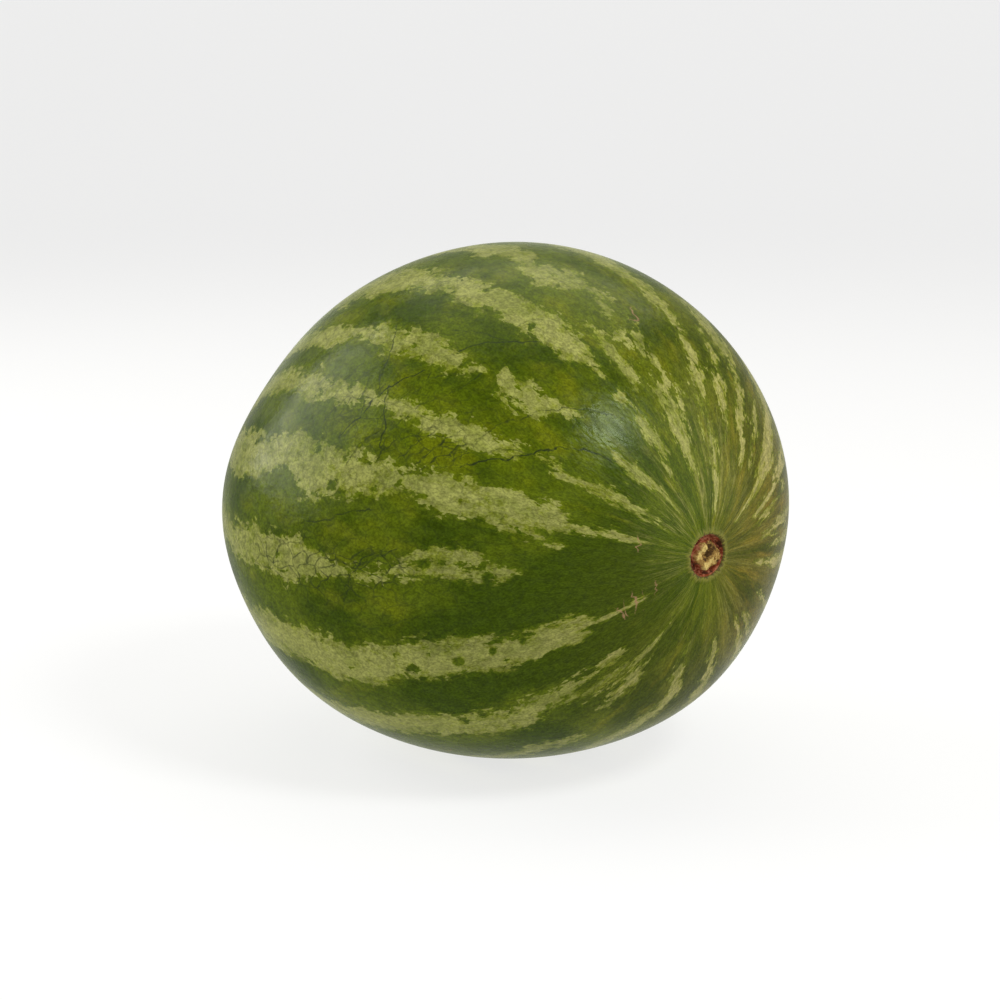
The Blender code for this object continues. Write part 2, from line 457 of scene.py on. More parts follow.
# The pale stripes all round the fruit, then the small green flecks in them.
STRIPES = StripeLayout(
    (
        Stripe(((20, 113, 1.2), (26, 110.5, 3.4), (32, 111.5, 1.5), (38, 112, 1.0))),
        Stripe(((43, 111, 1.8), (50, 111.5, 3.6), (56, 112.5, 4.6), (66, 111, 3.8), (75, 113, 3.8),
                (86, 113, 3.2), (96, 114.5, 5), (110, 117, 5.5), (128, 115, 3.2),
                (140, 118, 5.2), (150, 117, 4.2), (166, 115, 2))),
        Stripe(((58, 91, 1.2), (62, 93, 2), (68, 97, 5.5), (73, 98, 3), (80, 95.5, 3), (90, 95, 4.5),
                (110, 96, 4.5), (150, 96, 4), (168, 95, 2))),
        Stripe(((14, 126, 1.5), (20, 127.5, 2.8), (25, 128, 3.8), (29, 129, 0.8))),
        Stripe(((40, 126, 0.7), (45, 130.5, 2.6), (53, 131, 3.6), (56, 129.5, 2.8), (59, 129, 0.4),
                (64, 132.5, 0.6), (67, 130.5, 2.8), (72, 130.5, 3.3), (80, 131, 2.8), (90, 131, 2.4),
                (98, 133, 3.2), (110, 133, 3), (126, 131, 4.6), (138, 134, 2.4), (150, 133, 4),
                (167, 132, 2))),
        Stripe(((13, 144, 0.8), (20, 143.5, 1.8), (26, 144, 2.4), (36, 145.5, 2.0), (41, 144.5, 0.7),
                (48, 145.5, 2.2), (57, 146, 2.6), (66, 146.5, 2.2), (74, 144.5, 1.2), (80, 145, 1.9),
                (88, 147, 2.9), (96, 145, 2.8), (110, 145, 3), (124, 148, 4.8),
                (138, 146, 2.6), (150, 147, 4), (168, 146, 2))),
        Stripe(((19, 162, 1.0), (24, 161, 2.0), (29, 162, 1.6), (34, 160.5, 4.6), (44, 161, 5.2),
                (50, 161.5, 4.0), (56, 161, 4.8), (61, 160, 3.0), (68, 161, 3.0), (74, 162.5, 5.4),
                (85, 163, 5.8), (91, 160, 3.8), (100, 163, 4.2), (112, 163, 5.5), (128, 161, 3.4),
                (140, 164, 5), (150, 162, 4.2), (168, 160, 2))),
        Stripe(((40, 180.5, 0.2), (45, 180, 1.2), (50, 180, 2.6), (55, 180, 1.4), (62, 181, 1.6),
                (67, 183, 2.0), (74, 182, 1.1), (80, 181.5, 3), (86, 182, 4.4), (96, 182, 4.4),
                (110, 182, 3.8), (126, 180, 5.2), (138, 182, 2.6), (150, 181, 4), (167, 180, 2))),
        Stripe(((46, 175.5, 0.4), (50, 174.5, 1.7), (54, 175.5, 1.2), (59, 177.5, 1.0))),
        Stripe(((18, 204, 1.4), (26, 203.5, 1.4), (30, 204, 4.8), (36, 204, 5.3), (43, 205.5, 5.4),
                (53, 203.5, 5.6), (60, 204, 4.8), (65, 203, 4), (72, 204, 5.6), (82, 204.5, 5.6),
                (88, 202, 4.6), (96, 201.5, 4.6), (108, 203, 4), (124, 204, 5.6), (138, 202, 3),
                (150, 203, 4.6), (168, 203, 2))),
        Stripe(((19, 237, 1.5), (24, 237, 2.2), (28, 234, 1.6), (33, 234, 2.2), (38, 233, 1.6))),
        Stripe(((27, 243, 2), (31, 244, 3), (36, 244, 1.2))),
        Stripe(((28, 226, 1.8), (31, 227, 1.6), (34, 226.5, 1.2))),
        Stripe(((38, 226, 1.6), (43, 227.5, 3.6), (50, 230.5, 5), (57, 228.5, 4.8), (64, 226.5, 4),
                (72, 224.5, 4.6), (82, 224.5, 4.6), (95, 224, 4.8), (110, 223, 4.5), (126, 225, 3),
                (138, 223, 5.2), (150, 224, 4), (168, 224, 2))),
        Stripe(((49, 252, 1), (54, 249.5, 2.8), (60, 249, 2.6), (66, 249.5, 2), (80, 249, 3.5),
                (96, 251, 5.2), (110, 248, 3), (128, 249, 5), (150, 249, 4), (168, 248, 2))),
        Stripe(((21, 265, 1.5), (28, 267, 2.2), (33, 271, 3.0), (40, 269, 3.6), (46, 266, 4),
                (54, 265, 3.4), (66, 268, 2.0), (78, 266, 4.8), (92, 269, 5.4), (106, 267, 3.0),
                (122, 268, 5.2), (138, 269, 3.0), (150, 268, 4), (168, 268, 2))),
        Stripe(((22, 286, 1.5), (30, 287, 2.6), (40, 288, 3), (54, 290, 4.6), (66, 288, 2.4),
                (80, 287, 5.0), (96, 290, 3.4), (110, 288, 5.2), (126, 286, 3.0), (140, 289, 5.0),
                (150, 288, 4), (168, 287, 2))),
        Stripe(((20, 304, 1), (28, 305, 2.0), (36, 306, 2.4), (50, 309, 4.6), (62, 307, 2.2),
                (76, 309, 5.0), (90, 306, 5.4), (104, 308, 2.6), (120, 306, 5.2), (136, 308, 4.0),
                (150, 306, 4), (168, 306, 2))),
        Stripe(((22, 312, 1.2), (30, 312.5, 1.6), (38, 313, 0.8))),
        Stripe(((24, 326, 1.0), (40, 327, 2.5), (54, 325, 4.4), (66, 328, 5.4), (80, 327, 2.6),
                (92, 328, 4.2), (106, 325, 5.4), (120, 326, 3.0), (134, 327, 5.0), (150, 326, 4),
                (168, 326, 2))),
        Stripe(((16, 344, 1), (24, 345, 2.4), (34, 346, 3.2), (46, 345, 4.6), (58, 347.5, 3.2),
                (70, 346, 5.2), (84, 344.5, 4.4), (98, 347, 2.6), (112, 348, 5.0), (128, 346, 5.4),
                (150, 345, 3.6), (168, 345, 2))),
        Stripe(((19, 3, 1.6), (26, 3, 2.4), (34, 4, 2.6), (48, 6, 4.4), (60, 4, 5.2), (72, 6, 2.4),
                (84, 7, 1.2), (96, 5, 4.8), (110, 4, 5.4), (126, 6, 3.0), (150, 4, 4.4), (168, 5, 2))),
        Stripe(((17, 16, 1.8), (25, 16, 1.8), (30, 16.5, 1))),
        Stripe(((16, 23, 1.5), (22, 23, 1.8), (30, 23.5, 2.4), (38, 24, 3), (50, 23, 5.0),
                (62, 25, 3.4), (76, 26, 5.6), (90, 23, 4.0), (104, 22, 5.6), (120, 24.5, 3.2),
                (134, 23, 5.4), (150, 24, 4), (168, 24, 2))),
        Stripe(((12, 38, 1), (18, 37, 3), (27, 36, 5.5), (34, 36, 5), (42, 38, 4), (52, 41, 5.4),
                (64, 39, 3.0), (74, 41, 1.6), (86, 42, 5.2), (100, 40, 5.6), (114, 42, 2.4),
                (128, 41, 5.4), (150, 41, 4), (168, 41, 2))),
        Stripe(((20, 57, 1.2), (28, 58.5, 2.5), (36, 58, 2.6), (44, 58, 2.2), (58, 60, 4.2),
                (70, 58, 2.0), (82, 60, 5.0), (96, 58, 3.2), (108, 60, 5.4), (124, 59, 4.0),
                (136, 61, 2.2), (150, 60, 4.4), (168, 59, 2))),
        Stripe(((12, 80, 2.8), (18, 79, 3), (23, 80, 2.6), (29, 80.5, 1.3), (35, 79, 3.2),
                (43, 76.5, 2.4), (49, 77, 1.5), (56, 76.5, 2.6), (64, 78, 2.6), (72, 78, 3.2),
                (84, 77, 5.0), (96, 79, 3.0), (110, 77, 5.0), (124, 79, 2.2), (136, 78, 4.6),
                (150, 78, 4), (168, 78, 2))),
        Stripe(((20, 97, 2.5), (27, 98, 5), (34, 95, 3.4), (38, 97, 1.5))),
        Stripe(((38, 103, 1), (43, 104, 1.8), (48, 103, 2), (53, 101.5, 1))),
        Stripe(((34, 169, 0.8), (36, 168.5, 1.6), (38, 168.5, 0.8))),
        Stripe(((30, 91, 0.8), (36, 92, 1.8), (44, 94, 1.4), (50, 92, 0.6))),
        Stripe(((43, 99, 0.8), (49, 98, 1.4), (55, 96, 1.2), (60, 94, 0.6))),
        Stripe(((24, 70, 0.5), (32, 69, 1.6), (40, 67, 1.8), (50, 66, 0.6))),
        Stripe(((22, 48, 0.6), (30, 48, 1.4), (38, 49, 0.6))),
        Stripe(((22, 355, 0.6), (30, 354, 1.6), (40, 355, 0.8))),
    ),
    (
        Fleck(204, 46, 1.9), Fleck(207, 44, 1.7), Fleck(205, 53, 2.2), Fleck(202, 58, 1.9),
        Fleck(205.5, 62, 2.4), Fleck(202, 65, 1.6), Fleck(203, 40, 1.5), Fleck(206, 76, 1.8),
        Fleck(161, 64, 1.6), Fleck(165, 78, 2.0), Fleck(159, 84, 1.6), Fleck(113, 60, 1.8),
        Fleck(111, 74, 1.7), Fleck(131, 76, 1.5), Fleck(162, 52, 1.4), Fleck(226, 60, 1.8),
        Fleck(182, 90, 1.8), Fleck(266, 60, 2.0), Fleck(346, 70, 2.0), Fleck(41, 80, 2.2),
        Fleck(60, 96, 2.0), Fleck(78, 104, 2.0), Fleck(163, 130, 2.2), Fleck(205, 128, 2.2),
    ),
)

# The hairline veins with their branches, then the small corky scratches.
LINES = LineLayout(
    (
        Line(Hairline.VEIN, ((117, 34), (121, 37), (124, 40), (129, 44), (134, 47), (140, 50)), 0.7),
        Line(Hairline.VEIN, ((131, 29), (134, 34), (139, 39), (144, 43), (148, 46), (151, 50),
                             (154, 54)), 1.0),
        Line(Hairline.BRANCH, ((144, 43), (146, 48), (150, 53), (153, 56)), 0.6),
        Line(Hairline.VEIN, ((116, 56), (120, 60), (123, 63), (126, 66), (129, 67)), 0.9),
        Line(Hairline.BRANCH, ((120, 60), (122, 66), (124, 71)), 0.6),
        Line(Hairline.VEIN, ((131, 60), (136, 61), (140, 64), (144, 67), (149, 69)), 0.5),
        Line(Hairline.BRANCH, ((139, 57), (144, 59), (148, 63)), 0.4),
        Line(Hairline.VEIN, ((146, 57), (150, 59), (156, 62)), 0.8),
        Line(Hairline.BRANCH, ((149, 55), (153, 58), (157, 61)), 0.8),
        Line(Hairline.BRANCH, ((147, 61), (151, 63), (156, 66)), 0.6),
        Line(Hairline.VEIN, ((136, 70), (142, 75), (148, 77), (155, 80)), 1.0),
        Line(Hairline.BRANCH, ((142, 75), (147, 73), (151, 71), (156, 70)), 0.9),
        Line(Hairline.BRANCH, ((128, 83), (134, 80), (140, 78), (143, 77)), 0.8),
        Line(Hairline.BRANCH, ((146, 76), (150, 80), (152, 85)), 0.6),
        Line(Hairline.VEIN, ((145, 82), (149, 84), (155, 86)), 0.5),
        Line(Hairline.VEIN, ((168, 68), (170, 73), (173, 79), (174, 83)), 0.8),
        Line(Hairline.BRANCH, ((176, 62), (180, 68), (181, 74), (183, 79)), 0.7),
        Line(Hairline.VEIN, ((180, 60), (179, 65), (181, 70), (186, 73)), 0.6),
        Line(Hairline.VEIN, ((186, 84), (183, 87), (184, 92), (180, 96)), 0.6),
        Line(Hairline.VEIN, ((192, 58), (195, 66), (194, 74)), 0.4),
        Line(Hairline.VEIN, ((137, 49), (143, 52), (147, 53), (152, 57)), 0.5),
        Line(Hairline.VEIN, ((133, 63), (136, 67), (141, 69)), 0.5),
        Line(Hairline.BRANCH, ((150, 64), (153, 68), (157, 70)), 0.6),
        Line(Hairline.VEIN, ((152, 72), (156, 75), (160, 76)), 0.6),
        Line(Hairline.BRANCH, ((138, 84), (143, 86), (147, 90)), 0.5),
        Line(Hairline.BRANCH, ((120, 72), (124, 77), (126, 82)), 0.4),
        Line(Hairline.BRANCH, ((108, 58), (112, 61), (117, 62)), 0.4),
        Line(Hairline.VEIN, ((30, 60), (36, 66), (40, 75), (47, 80)), 0.7),
        Line(Hairline.BRANCH, ((40, 75), (38, 82), (42, 90)), 0.6),
        Line(Hairline.VEIN, ((300, 70), (306, 78), (309, 88)), 0.5),
        Line(Hairline.VEIN, ((60, 110), (68, 116), (72, 126)), 0.7),
        Line(Hairline.BRANCH, ((68, 116), (75, 118), (80, 124)), 0.5),
        Line(Hairline.SCRATCH, ((161, 17.4), (163, 17), (166, 17.2)), 0.9),
        Line(Hairline.SCRATCH, ((196, 13), (202, 13.6)), 0.6),
        Line(Hairline.SCRATCH, ((198, 18), (202, 17.6), (208, 18.4)), 0.9),
        Line(Hairline.SCRATCH, ((203, 21.4), (208, 20.8)), 0.9),
        Line(Hairline.SCRATCH, ((90, 51.8), (88.4, 51.4), (87.8, 52.8), (87.6, 54.6)), 0.9),
        Line(Hairline.SCRATCH, ((240, 74), (242, 77)), 0.7),
    )
)

# Above 0 the green is yellower, its own colour; below 0 it is deeper, partly its own colour and partly
# painted shade.
TONE_AND_SHADE = (
    Patch(190, 22, 62, 16, -1.0), Patch(150, 62, 7, 9, 0.8), Patch(171, 66, 5, 8, 0.5),
    Patch(189, 62, 4, 9, 0.6), Patch(137, 56, 4, 10, 0.2), Patch(150, 88, 6, 10, -0.3),
    Patch(171, 95, 8, 10, -0.2),
    Patch(196, 28, 26, 24, -0.8), Patch(190, 44, 9, 10, -0.9), Patch(194, 56, 5, 8, -0.7),
    Patch(215, 46, 7, 16, -0.9), Patch(216, 70, 6, 14, -0.6), Patch(240, 52, 10, 22, -0.8),
    Patch(170, 45, 5, 10, -0.3), Patch(122, 66, 6, 10, -0.3), Patch(260, 90, 30, 22, 0.4),
    Patch(20, 95, 24, 20, 0.4), Patch(330, 100, 20, 24, -0.3), Patch(70, 120, 18, 18, 0.4),
    Patch(160, 128, 20, 16, -0.3), Patch(290, 26, 40, 14, -0.15), Patch(148, 44, 15, 12, 0.4),
)

# Where the skin is brownish: near the stem end its own colour, and on the large patch towards +Y, which
# faces the warm right-hand light, partly a painted warm cast of light.
RUSSET_AND_WARM_CAST = (
    Patch(8, 24, 78, 40, 1.0), Patch(315, 30, 32, 26, 0.5), Patch(250, 28, 40, 16, 0.30),
    Patch(195, 14, 50, 16, 0.30),
)

# Where the markings are torn into flecks.
TORN = (
    Patch(92, 40, 16, 26, 1.0), Patch(130, 22, 22, 12, 0.5), Patch(92, 70, 8, 10, 0.5),
    Patch(180, 52, 5, 12, 0.7), Patch(131, 58, 6, 10, 0.5), Patch(245, 34, 28, 20, 1.0),
    Patch(290, 36, 30, 20, 0.6), Patch(20, 34, 40, 18, 0.6), Patch(146, 80, 5, 20, 0.4),
    Patch(5, 84, 8, 10, 0.8), Patch(41, 72, 7, 10, 0.8), Patch(59, 70, 6, 8, 0.7),
    Patch(288, 66, 7, 10, 0.7), Patch(307, 62, 6, 9, 0.7), Patch(327, 82, 6, 10, 0.7),
    Patch(346, 98, 7, 10, 0.7), Patch(24, 62, 6, 8, 0.5), Patch(78, 96, 6, 10, 0.6),
    Patch(113, 128, 6, 10, 0.6), Patch(147, 138, 8, 10, 0.6), Patch(203, 138, 7, 10, 0.6),
    Patch(268, 66, 6, 10, 0.6), Patch(24, 118, 6, 10, 0.6), Patch(59, 134, 7, 9, 0.6),
)

# Where rays show round the stem end.
RAYED = (
    Patch(195, 22, 55, 20, -0.25), Patch(90, 12, 42, 20, 1.0), Patch(15, 14, 40, 20, 0.34),
    Patch(300, 12, 50, 18, 0.38), Patch(150, 10, 30, 10, 0.7), Patch(205, 8, 40, 9, 0.45),
    Patch(250, 14, 20, 12, 0.2),
)

# Where the net of fine cracks is strong.
CRAZED = (
    Patch(183, 80, 5, 18, 1.0), Patch(180, 66, 3, 5, 0.8), Patch(150, 60, 7, 8, 0.5),
    Patch(148, 78, 8, 8, 0.6), Patch(35, 70, 9, 12, 0.7), Patch(70, 118, 9, 12, 0.7),
    Patch(308, 80, 6, 12, 0.6),
)


@dataclass(frozen=True)
class Grain:
    """Cloudy grain in a finish.

    The size is that of its largest features, in millimetres. Layers and roughness tell how
    many finer layers it has and how strong they are. Along is the scale of places in the
    direction of the stem axis, which draws features out that way where it is below 1. Aside
    moves the places, so that two grains differ. Reach is how far the grain swings a number.
    """

    size: float
    layers: float = 2.0
    roughness: float = 0.5
    along: float = 1.0
    aside: float = 0.0
    reach: float = 0.0


@dataclass(frozen=True)
class Ease:
    """A smooth step from one result, start, at low to another, end, at high."""

    low: float
    high: float
    start: float = 0.0
    end: float = 1.0


@dataclass
class Recipe:
    """Builds one material's nodes from plain calls, each of which gives a socket."""

    material: bpy.types.Material

    @classmethod
    def new(cls, name: str) -> "Recipe":
        """Starts an empty material.

        Args:
            name: The material's name.

        Returns:
            A recipe with an empty tree.
        """
        material = bpy.data.materials.new(name)
        material.use_nodes = True
        material.node_tree.nodes.clear()
        return cls(material)

    def node(self, kind: str, **settings: object) -> bpy.types.Node:
        """Adds a node.

        Args:
            kind: The node's type.
            **settings: Properties to set on it.

        Returns:
            The new node.
        """
        made = self.material.node_tree.nodes.new(kind)
        for name, value in settings.items():
            setattr(made, name, value)
        return made

    def feed(self, socket: bpy.types.NodeSocket, source: object) -> None:
        """Links a socket to an input, or writes a number or colour on it.

        Args:
            socket: The input to fill.
            source: Another node's output, a number, or a tuple of numbers.
        """
        if isinstance(source, bpy.types.NodeSocket):
            self.material.node_tree.links.new(source, socket)
        elif isinstance(source, tuple) and socket.type == "RGBA":
            socket.default_value = (*source[:3], 1.0)
        else:
            socket.default_value = source

    def vector(self, name: str) -> bpy.types.NodeSocket:
        """The places in one of the mesh's own attributes."""
        return self.node("ShaderNodeAttribute", attribute_name=name).outputs["Vector"]

    def number(self, name: str) -> bpy.types.NodeSocket:
        """The numbers in one of the mesh's own attributes."""
        return self.node("ShaderNodeAttribute", attribute_name=name).outputs["Fac"]

    def maths(self, operation: str, first: object, second: object = 0.0) -> bpy.types.NodeSocket:
        """One step of arithmetic.

        Args:
            operation: The name of the operation.
            first: Its first number or socket.
            second: Its second number or socket.

        Returns:
            The result's socket.
        """
        step = self.node("ShaderNodeMath", operation=operation)
        self.feed(step.inputs[0], first)
        self.feed(step.inputs[1], second)
        return step.outputs[0]

    def add(self, first: object, second: object) -> bpy.types.NodeSocket:
        """The sum of two numbers."""
        return self.maths("ADD", first, second)

    def times(self, first: object, second: object) -> bpy.types.NodeSocket:
        """The product of two numbers."""
        return self.maths("MULTIPLY", first, second)

    def ease(self, value: object, step: Ease) -> bpy.types.NodeSocket:
        """A number put through a smooth step.

        Args:
            value: The number.
            step: The step.

        Returns:
            The result's socket.
        """
        node = self.node("ShaderNodeMapRange", interpolation_type="SMOOTHSTEP")
        for socket, source in zip(node.inputs, (value, step.low, step.high, step.start, step.end)):
            self.feed(socket, source)
        return node.outputs[0]

    def stretch(self, vector: object, along: float, aside: float = 0.0) -> bpy.types.NodeSocket:
        """A place scaled in the direction of the stem axis.

        Args:
            vector: The place.
            along: The scale.
            aside: How far the place is moved to the side.

        Returns:
            The new place's socket.
        """
        step = self.node("ShaderNodeMapping")
        self.feed(step.inputs["Vector"], vector)
        step.inputs["Scale"].default_value = (1.0, 1.0, along)
        step.inputs["Location"].default_value = (aside, 0.0, 0.0)
        return step.outputs[0]

    def clouds(self, vector: object, grain: Grain) -> bpy.types.Node:
        """The node of some cloudy grain.

        Args:
            vector: Where it is read.
            grain: The grain.

        Returns:
            A node whose outputs are a number round 0.5 and a colour.
        """
        if (grain.along, grain.aside) != (1.0, 0.0):
            vector = self.stretch(vector, grain.along, grain.aside)
        step = self.node("ShaderNodeTexNoise")
        self.feed(step.inputs["Vector"], vector)
        step.inputs["Scale"].default_value = 1.0 / grain.size
        step.inputs["Detail"].default_value = grain.layers
        step.inputs["Roughness"].default_value = grain.roughness
        return step

    def grain(self, vector: object, grain: Grain) -> bpy.types.NodeSocket:
        """Cloudy grain, with numbers round 0.5."""
        return self.clouds(vector, grain).outputs["Fac"]

    def waves(self, vector: object, grain: Grain) -> bpy.types.NodeSocket:
        """Cloudy grain, with numbers that swing round 0 by the grain's reach."""
        return self.swing(self.grain(vector, grain), grain.reach)

    def swing(self, source: object, reach: float) -> bpy.types.NodeSocket:
        """Numbers round 0.5 turned into numbers round 0, reach apart from 0 to 1."""
        return self.times(self.maths("SUBTRACT", source, 0.5), reach)

    def wander(self, vector: object, grain: Grain) -> bpy.types.NodeSocket:
        """A place pushed about at random.

        Args:
            vector: The place.
            grain: The grain of the pushes, with how far they go as its reach.

        Returns:
            The new place's socket.
        """
        push = self.node("ShaderNodeVectorMath", operation="MULTIPLY_ADD")
        self.feed(push.inputs[0], self.clouds(vector, grain).outputs["Color"])
        push.inputs[1].default_value = (2.0 * grain.reach,) * 3
        push.inputs[2].default_value = (-grain.reach,) * 3
        total = self.node("ShaderNodeVectorMath", operation="ADD")
        self.feed(total.inputs[0], vector)
        self.feed(total.inputs[1], push.outputs[0])
        return total.outputs[0]

    def cells(self, vector: object, size: float) -> bpy.types.NodeSocket:
        """One random number for each of a net of irregular cells.

        Args:
            vector: Where it is read.
            size: The size of a cell, in the vector's own unit.

        Returns:
            A socket with numbers from 0 to 1.
        """
        step = self.node("ShaderNodeTexVoronoi", feature="F1")
        self.feed(step.inputs["Vector"], vector)
        step.inputs["Scale"].default_value = 1.0 / size
        parts = self.node("ShaderNodeSeparateColor")
        self.feed(parts.inputs[0], step.outputs["Color"])
        return parts.outputs[0]

    def net(self, vector: object, size: float) -> bpy.types.NodeSocket:
        """How far each point is from the nearest line of a net of cells.

        Args:
            vector: Where it is read.
            size: The size of a cell, in the vector's own unit.

        Returns:
            The distance's socket, in cells.
        """
        step = self.node("ShaderNodeTexVoronoi", feature="DISTANCE_TO_EDGE")
        self.feed(step.inputs["Vector"], vector)
        step.inputs["Scale"].default_value = 1.0 / size
        return step.outputs["Distance"]

    def mix(self, share: object, first: object, second: object) -> bpy.types.NodeSocket:
        """A number that goes from one to another.

        Args:
            share: How much of the second there is, from 0 to 1.
            first: The number at share 0.
            second: The number at share 1.

        Returns:
            The number's socket.
        """
        step = self.node("ShaderNodeMix", data_type="FLOAT")
        for place, source in zip((0, 2, 3), (share, first, second)):
            self.feed(step.inputs[place], source)
        return step.outputs[0]

    def blend(self, share: object, first: object, second: object,
              mode: str = "MIX") -> bpy.types.NodeSocket:
        """One colour over another.

        Args:
            share: How much of the second shows.
            first: The colour underneath.
            second: The colour on top.
            mode: How they mix.

        Returns:
            The mixed colour's socket.
        """
        step = self.node("ShaderNodeMix", data_type="RGBA", blend_type=mode)
        for place, source in zip((0, 6, 7), (share, first, second)):
            self.feed(step.inputs[place], source)
        return step.outputs[2]

    def shade(self, colour: object, brightness: object) -> bpy.types.NodeSocket:
        """A colour made darker or lighter.

        Args:
            colour: The colour.
            brightness: The number that it is multiplied by.

        Returns:
            The new colour's socket.
        """
        grey = self.node("ShaderNodeCombineColor")
        for socket in grey.inputs[:3]:
            self.feed(socket, brightness)
        return self.blend(1.0, colour, grey.outputs[0], "MULTIPLY")

    def relief(self, height: object, distance: float,
               below: object = None) -> bpy.types.NodeSocket:
        """Fine relief.

        Args:
            height: The relief's height, in units of the distance.
            distance: The height of 1, in metres.
            below: The surface that it lies on, where that has relief of its own.

        Returns:
            The relief's normal.
        """
        step = self.node("ShaderNodeBump")
        step.inputs["Distance"].default_value = distance
        self.feed(step.inputs["Height"], height)
        if below is not None:
            self.feed(step.inputs["Normal"], below)
        return step.outputs[0]

    def finish(self, colour: object, normal: object = None, **settings: object) -> bpy.types.Material:
        """Ends the material in a shader.

        Args:
            colour: The surface's colour.
            normal: Its fine relief.
            **settings: The shader's other inputs, with _ for each space in their names.

        Returns:
            The finished material.
        """
        shader = self.node("ShaderNodeBsdfPrincipled")
        self.feed(shader.inputs["Base Color"], colour)
        if normal is not None:
            self.feed(shader.inputs["Normal"], normal)
        for name, source in settings.items():
            self.feed(shader.inputs[name.replace("_", " ")], source)
        output = self.node("ShaderNodeOutputMaterial")
        self.feed(output.inputs["Surface"], shader.outputs[0])
        return self.material


@dataclass(frozen=True)
class RindFinish:
    """The rind's waxy skin: mottled greens, pale markings, rays, fine lines and grain."""

    # The green ground: deep green with clouds of a middle green and patches of sunny_green, both pushed
    # by the tone patches, which are partly painted shade.
    deep_green: Colour = (0.038, 0.063, 0.0015)
    mid_green: Colour = (0.079, 0.110, 0.003)
    sunny_green: Colour = (0.119, 0.142, 0.003)
    clouds: Grain = Grain(30.0)
    clouds_shown: Ease = Ease(0.30, 0.62)
    clouds_tone: float = 0.22
    patches: Grain = Grain(15.0, 2.0, 0.6, along=0.7, aside=50.0)
    patches_shown: Ease = Ease(0.46, 0.74)
    patches_tone: float = 0.20
    patches_share: float = 0.85
    # A brownish multiplier: partly the skin's own colour and partly a painted warm cast of light.
    russet_and_warm_cast: Colour = (1.42, 0.88, 5.0)

    # Fine pale and dark rays that run out from the stem end.
    ray: Colour = (0.225, 0.215, 0.055)
    ray_bend: Grain = Grain(14.0, 0.0, reach=2.0)
    ray_lines: Grain = Grain(6.5, 4.0, 0.74, along=0.11)
    ray_bundles: Grain = Grain(26.0, 1.0, along=0.16, aside=9.0, reach=0.35)
    ray_breaks: Grain = Grain(4.0, 1.0, 0.65, along=0.6, reach=0.30)
    dark_rays: Ease = Ease(0.50, 0.36)
    pale_rays: Ease = Ease(0.50, 0.68)
    ray_share: float = 0.75

    # The ragged edge of the pale markings, in millimetres.
    edge_along: float = 0.72
    torn_loss: float = 1.2
    broad_edge: Grain = Grain(12.0, 1.0, reach=11.0)
    torn_edge: Grain = Grain(5.5, 3.0, 0.75, reach=38.0)
    middle_edge: Grain = Grain(4.6, 2.0, 0.6, reach=10.0)
    fine_edge: Grain = Grain(1.5, 2.0, 0.6, reach=5.0)
    shard_bend: Grain = Grain(3.0, 0.0, reach=1.3)
    broad_shard: float = 5.0
    broad_shard_reach: float = 4.5
    fine_shard: float = 2.3
    fine_shard_reach: float = 3.5
    streaks: Grain = Grain(5.0, 4.0, 0.6, along=0.20, reach=15.0)
    near_stem: Ease = Ease(16.0, 52.0, 1.0, 0.0)

    # The colour of the pale markings and of the green beside them.
    edge_green: Colour = (0.102, 0.133, 0.004)
    edge_shown: Ease = Ease(-4.0, 0.3)
    edge_share: float = 0.6
    lime: Colour = (0.170, 0.194, 0.018)
    cream: Colour = (0.268, 0.279, 0.070)
    # The markings' brownish multiplier under the russet patches, partly a painted warm cast of light.
    tawny: Colour = (1.22, 1.02, 1.45)
    mottle: Grain = Grain(3.6, 3.0, 0.75, reach=19.0)
    broad_mottle: Grain = Grain(19.0, 1.0, reach=8.0)
    depth_tone: float = 0.5
    streak_tone: float = 22.0
    cream_shown: Ease = Ease(-2.2, 3.6)
    marking_shown: Ease = Ease(-0.3, 0.4)
    veil: Grain = Grain(12.0, 2.0, 0.65, along=0.7)
    veil_shown: Ease = Ease(0.36, 0.52, 0.66, 1.0)
    worn: Grain = Grain(12.0, 2.0, 0.6, along=0.4, aside=30.0)
    worn_shown: Ease = Ease(0.38, 0.56, 0.35, 1.0)
    # The markings are darker where the tone patches are below 0, partly painted shade, and a little
    # lighter where they are above.
    tone_and_shade_on_markings: Ease = Ease(-1.0, 0.6, 0.80, 1.04)

    # The yellowish ring round the stem scar and the dark lip inside it, by radius in millimetres. The
    # lip is partly the scar's own dark edge and partly painted shade where the skin turns down into the
    # recess.
    halo: Colour = (0.170, 0.160, 0.030)
    halo_edge: Grain = Grain(12.0, 1.0, 0.6, reach=5.5)
    halo_shown: Ease = Ease(12.6, 10.4, 0.0, 0.70)
    lip: Colour = (0.070, 0.050, 0.014)
    lip_shade_shown: Ease = Ease(10.4, 9.6, 0.0, 0.9)

    # The corky button at the blossom end and the dark green round it, by polar angle.
    cork: Colour = (0.200, 0.125, 0.060)
    blossom_edge: Grain = Grain(8.0, 1.0, reach=1.6)
    blossom_shown: Ease = Ease(172.0, 176.5, 0.0, 0.6)
    cork_shown: Ease = Ease(177.6, 178.1)

    # Fine speckle, as brightness.
    speckle: Grain = Grain(3.4, 2.0, 0.65)
    speckle_tone: Ease = Ease(0.3, 0.7, 0.85, 1.16)
    fine: Grain = Grain(1.15, 1.0, 0.7)
    fine_tone: Ease = Ease(0.3, 0.7, 0.78, 1.22)

